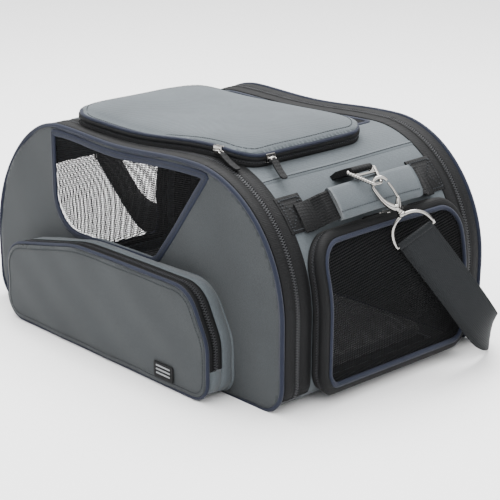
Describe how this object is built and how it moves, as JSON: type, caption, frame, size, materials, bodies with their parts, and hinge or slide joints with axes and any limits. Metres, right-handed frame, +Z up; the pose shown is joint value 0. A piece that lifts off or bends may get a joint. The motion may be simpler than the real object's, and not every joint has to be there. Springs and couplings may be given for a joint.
{
  "type": "pet carrier bag",
  "caption": "Soft-sided travel carrier for a small pet: D-shaped body, mesh windows, zip-open top flap, mesh end doors, front pocket, grab handles and shoulder strap",
  "frame": {"origin": "centre of the flat bottom of the body, on the surface the bag stands on, midway between the two zipped sides", "axes": "+X along the length towards the end on the right, -Y towards the pocket side, +Z up"},
  "size_m": [0.5732, 0.3547, 0.244],
  "materials": {
    "polyester": "slate grey twill weave",
    "band": "black webbing and zip tape",
    "net": "black open net",
    "strap": "charcoal webbing",
    "nickel": "bright nickel plate",
    "board": "matt",
    "fleece": "short pile fleece"
  },
  "bodies": {
    "shell": {"gusset_shell": "polyester", "base_board": "board", "cushion": "fleece", "top_mesh": "net", "front_zip_fixed": "band", "rear_zip_fixed": "band", "flap_zip_fixed": "band", "right_door_zip_fixed": "band", "left_door_zip_fixed": "band", "right_anchor_front": "band", "right_anchor_rear": "band", "left_anchor_front": "band", "left_anchor_rear": "band", "right_handle_web": "band", "right_handle_sleeve": "polyester", "left_handle_web": "band", "left_handle_sleeve": "polyester", "right_strap_loop": "band", "left_strap_loop": "band", "strap_rear": "strap", "right_strap_drop": "strap", "left_strap_drop": "strap"},
    "front_side": {"front_panel": "polyester", "front_window_mesh": "net", "front_zip_moving": "band", "pocket_gusset": "polyester"},
    "pocket_lid": {"pocket_front": "polyester", "pocket_zip_moving": "band", "label": "band"},
    "rear_side": {"rear_panel": "polyester", "rear_window_mesh": "net", "rear_zip_moving": "band"},
    "top_flap": {"flap_panel": "polyester", "flap_zip_moving": "band"},
    "right_door": {"right_door_rim": "band", "right_door_mesh": "net"},
    "left_door": {"left_door_rim": "band", "left_door_mesh": "net"},
    "pocket_slider_body": {"pocket_slider": "nickel"},
    "pocket_pull_body": {"pocket_pull": "band"},
    "flap_front_slider_body": {"flap_front_slider": "nickel"},
    "flap_front_pull_body": {"flap_front_pull": "band"},
    "flap_side_slider_body": {"flap_side_slider": "nickel"},
    "flap_side_pull_body": {"flap_side_pull": "band"},
    "right_door_a_slider_body": {"right_door_a_slider": "nickel"},
    "right_door_a_pull_body": {"right_door_a_pull": "band"},
    "right_door_b_slider_body": {"right_door_b_slider": "nickel"},
    "right_door_b_pull_body": {"right_door_b_pull": "band"},
    "left_door_slider_body": {"left_door_slider": "nickel"},
    "left_door_pull_body": {"left_door_pull": "band"},
    "right_ring_body": {"right_ring": "nickel"},
    "right_hook_body": {"right_hook": "nickel"},
    "right_gate_body": {"right_hook_gate": "nickel"},
    "right_eye_body": {"right_strap_eye": "nickel"},
    "left_ring_body": {"left_ring": "nickel"},
    "left_hook_body": {"left_hook": "nickel"},
    "left_gate_body": {"left_hook_gate": "nickel"},
    "left_eye_body": {"left_strap_eye": "nickel"}
  },
  "joints": [
    {"name": "front_side_hinge", "type": "hinge", "parent": "shell", "child": "front_side", "pos_m": [0, -0.137, 0.0062], "axis": [1, 0, 0], "range_deg": [0, 10]},
    {"name": "rear_side_hinge", "type": "hinge", "parent": "shell", "child": "rear_side", "pos_m": [0, 0.137, 0.0062], "axis": [-1, 0, 0], "range_deg": [0, 85], "deforming": ["strap_rear"]},
    {"name": "pocket_hinge", "type": "hinge", "parent": "front_side", "child": "pocket_lid", "pos_m": [0, -0.172, 0.003], "axis": [1, 0, 0], "range_deg": [0, 25]},
    {"name": "flap_hinge", "type": "hinge", "parent": "shell", "child": "top_flap", "pos_m": [0, 0.062, 0.23], "axis": [-1, 0, 0], "range_deg": [0, 150]},
    {"name": "right_door_hinge", "type": "hinge", "parent": "shell", "child": "right_door", "pos_m": [0.2395, 0, 0.0105], "axis": [0, 1, 0], "range_deg": [0, 80], "deforming": ["right_strap_eye", "right_strap_drop", "strap_rear"]},
    {"name": "left_door_hinge", "type": "hinge", "parent": "shell", "child": "left_door", "pos_m": [-0.2395, 0, 0.0105], "axis": [0, -1, 0], "range_deg": [0, 80], "deforming": ["left_strap_eye", "left_strap_drop", "strap_rear"]},
    {"name": "right_ring_hinge", "type": "hinge", "parent": "shell", "child": "right_ring_body", "pos_m": [0.2037, -0.013, 0.2092], "axis": [0, -1, 0], "range_deg": [0, 30], "deforming": ["right_strap_drop"]},
    {"name": "left_ring_hinge", "type": "hinge", "parent": "shell", "child": "left_ring_body", "pos_m": [-0.1938, -0.013, 0.2092], "axis": [0, 1, 0], "range_deg": [0, 30], "deforming": ["left_strap_drop"]},
    {"name": "right_hook_hinge", "type": "hinge", "parent": "right_ring_body", "child": "right_hook_body", "pos_m": [0.2279, -0.013, 0.1996], "axis": [0, -1, 0], "range_deg": [0, 12], "deforming": ["right_strap_drop"]},
    {"name": "left_hook_hinge", "type": "hinge", "parent": "left_ring_body", "child": "left_hook_body", "pos_m": [-0.218, -0.013, 0.1996], "axis": [0, 1, 0], "range_deg": [0, 12], "deforming": ["left_strap_drop"]},
    {"name": "right_gate_hinge", "type": "hinge", "parent": "right_hook_body", "child": "right_gate_body", "pos_m": [0.2406, 0.0033, 0.1854], "axis": [0.8173, -0.5122, 0.2641], "range_deg": [0, 25], "stiffness_Nm_per_rad": 0.02, "springref_deg": -5.73},
    {"name": "left_gate_hinge", "type": "hinge", "parent": "left_hook_body", "child": "left_gate_body", "pos_m": [-0.2307, 0.0033, 0.1854], "axis": [0.8173, 0.5122, -0.2641], "range_deg": [0, 25], "stiffness_Nm_per_rad": 0.02, "springref_deg": -5.73},
    {"name": "right_eye_swivel", "type": "hinge", "parent": "right_hook_body", "child": "right_eye_body", "pos_m": [0.2438, 0.0015, 0.1721], "axis": [0.4821, 0.357, -0.8001], "range_deg": [-20, 20], "deforming": ["right_strap_drop"]},
    {"name": "left_eye_swivel", "type": "hinge", "parent": "left_hook_body", "child": "left_eye_body", "pos_m": [-0.2339, 0.0015, 0.1721], "axis": [-0.4821, 0.357, -0.8001], "range_deg": [-20, 20], "deforming": ["left_strap_drop"]},
    {"name": "pocket_slider_travel", "type": "slide", "parent": "front_side", "child": "pocket_slider_body", "axis": [0, 0, 1], "range_m": [-0.02, 0]},
    {"name": "pocket_pull_hinge", "type": "hinge", "parent": "pocket_slider_body", "child": "pocket_pull_body", "pos_m": [-0.174, -0.163, 0.0565], "axis": [0, 1, 0], "range_deg": [0, 90]},
    {"name": "flap_front_slider_travel", "type": "slide", "parent": "shell", "child": "flap_front_slider_body", "axis": [-1, 0, 0], "range_m": [0, 0.19]},
    {"name": "flap_front_pull_hinge", "type": "hinge", "parent": "flap_front_slider_body", "child": "flap_front_pull_body", "pos_m": [0.1233, -0.1176, 0.2281], "axis": [0, -1, 0], "range_deg": [0, 80]},
    {"name": "flap_side_slider_travel", "type": "slide", "parent": "shell", "child": "flap_side_slider_body", "axis": [0, 1, 0], "range_m": [0, 0.1]},
    {"name": "flap_side_pull_hinge", "type": "hinge", "parent": "flap_side_slider_body", "child": "flap_side_pull_body", "pos_m": [0.1569, -0.0811, 0.222], "axis": [-0.2629, -0.9648, 0], "range_deg": [0, 80]},
    {"name": "right_door_a_slider_travel", "type": "slide", "parent": "shell", "child": "right_door_a_slider_body", "axis": [0, -1, 0], "range_m": [0, 0.06]},
    {"name": "right_door_a_pull_hinge", "type": "hinge", "parent": "right_door_a_slider_body", "child": "right_door_a_pull_body", "pos_m": [0.2217, 0.0007, 0.1642], "axis": [-0.6113, 0, 0.7914], "range_deg": [0, 45]},
    {"name": "right_door_b_slider_travel", "type": "slide", "parent": "shell", "child": "right_door_b_slider_body", "axis": [0, 1, 0], "range_m": [0, 0.04]},
    {"name": "right_door_b_pull_hinge", "type": "hinge", "parent": "right_door_b_slider_body", "child": "right_door_b_pull_body", "pos_m": [0.2217, 0.0353, 0.1642], "axis": [0.6113, 0, -0.7914], "range_deg": [0, 80]},
    {"name": "left_door_slider_travel", "type": "slide", "parent": "shell", "child": "left_door_slider_body", "axis": [0, -1, 0], "range_m": [0, 0.06]},
    {"name": "left_door_pull_hinge", "type": "hinge", "parent": "left_door_slider_body", "child": "left_door_pull_body", "pos_m": [-0.2205, 0.0007, 0.1642], "axis": [-0.6, 0, -0.8], "range_deg": [0, 45]}
  ]
}
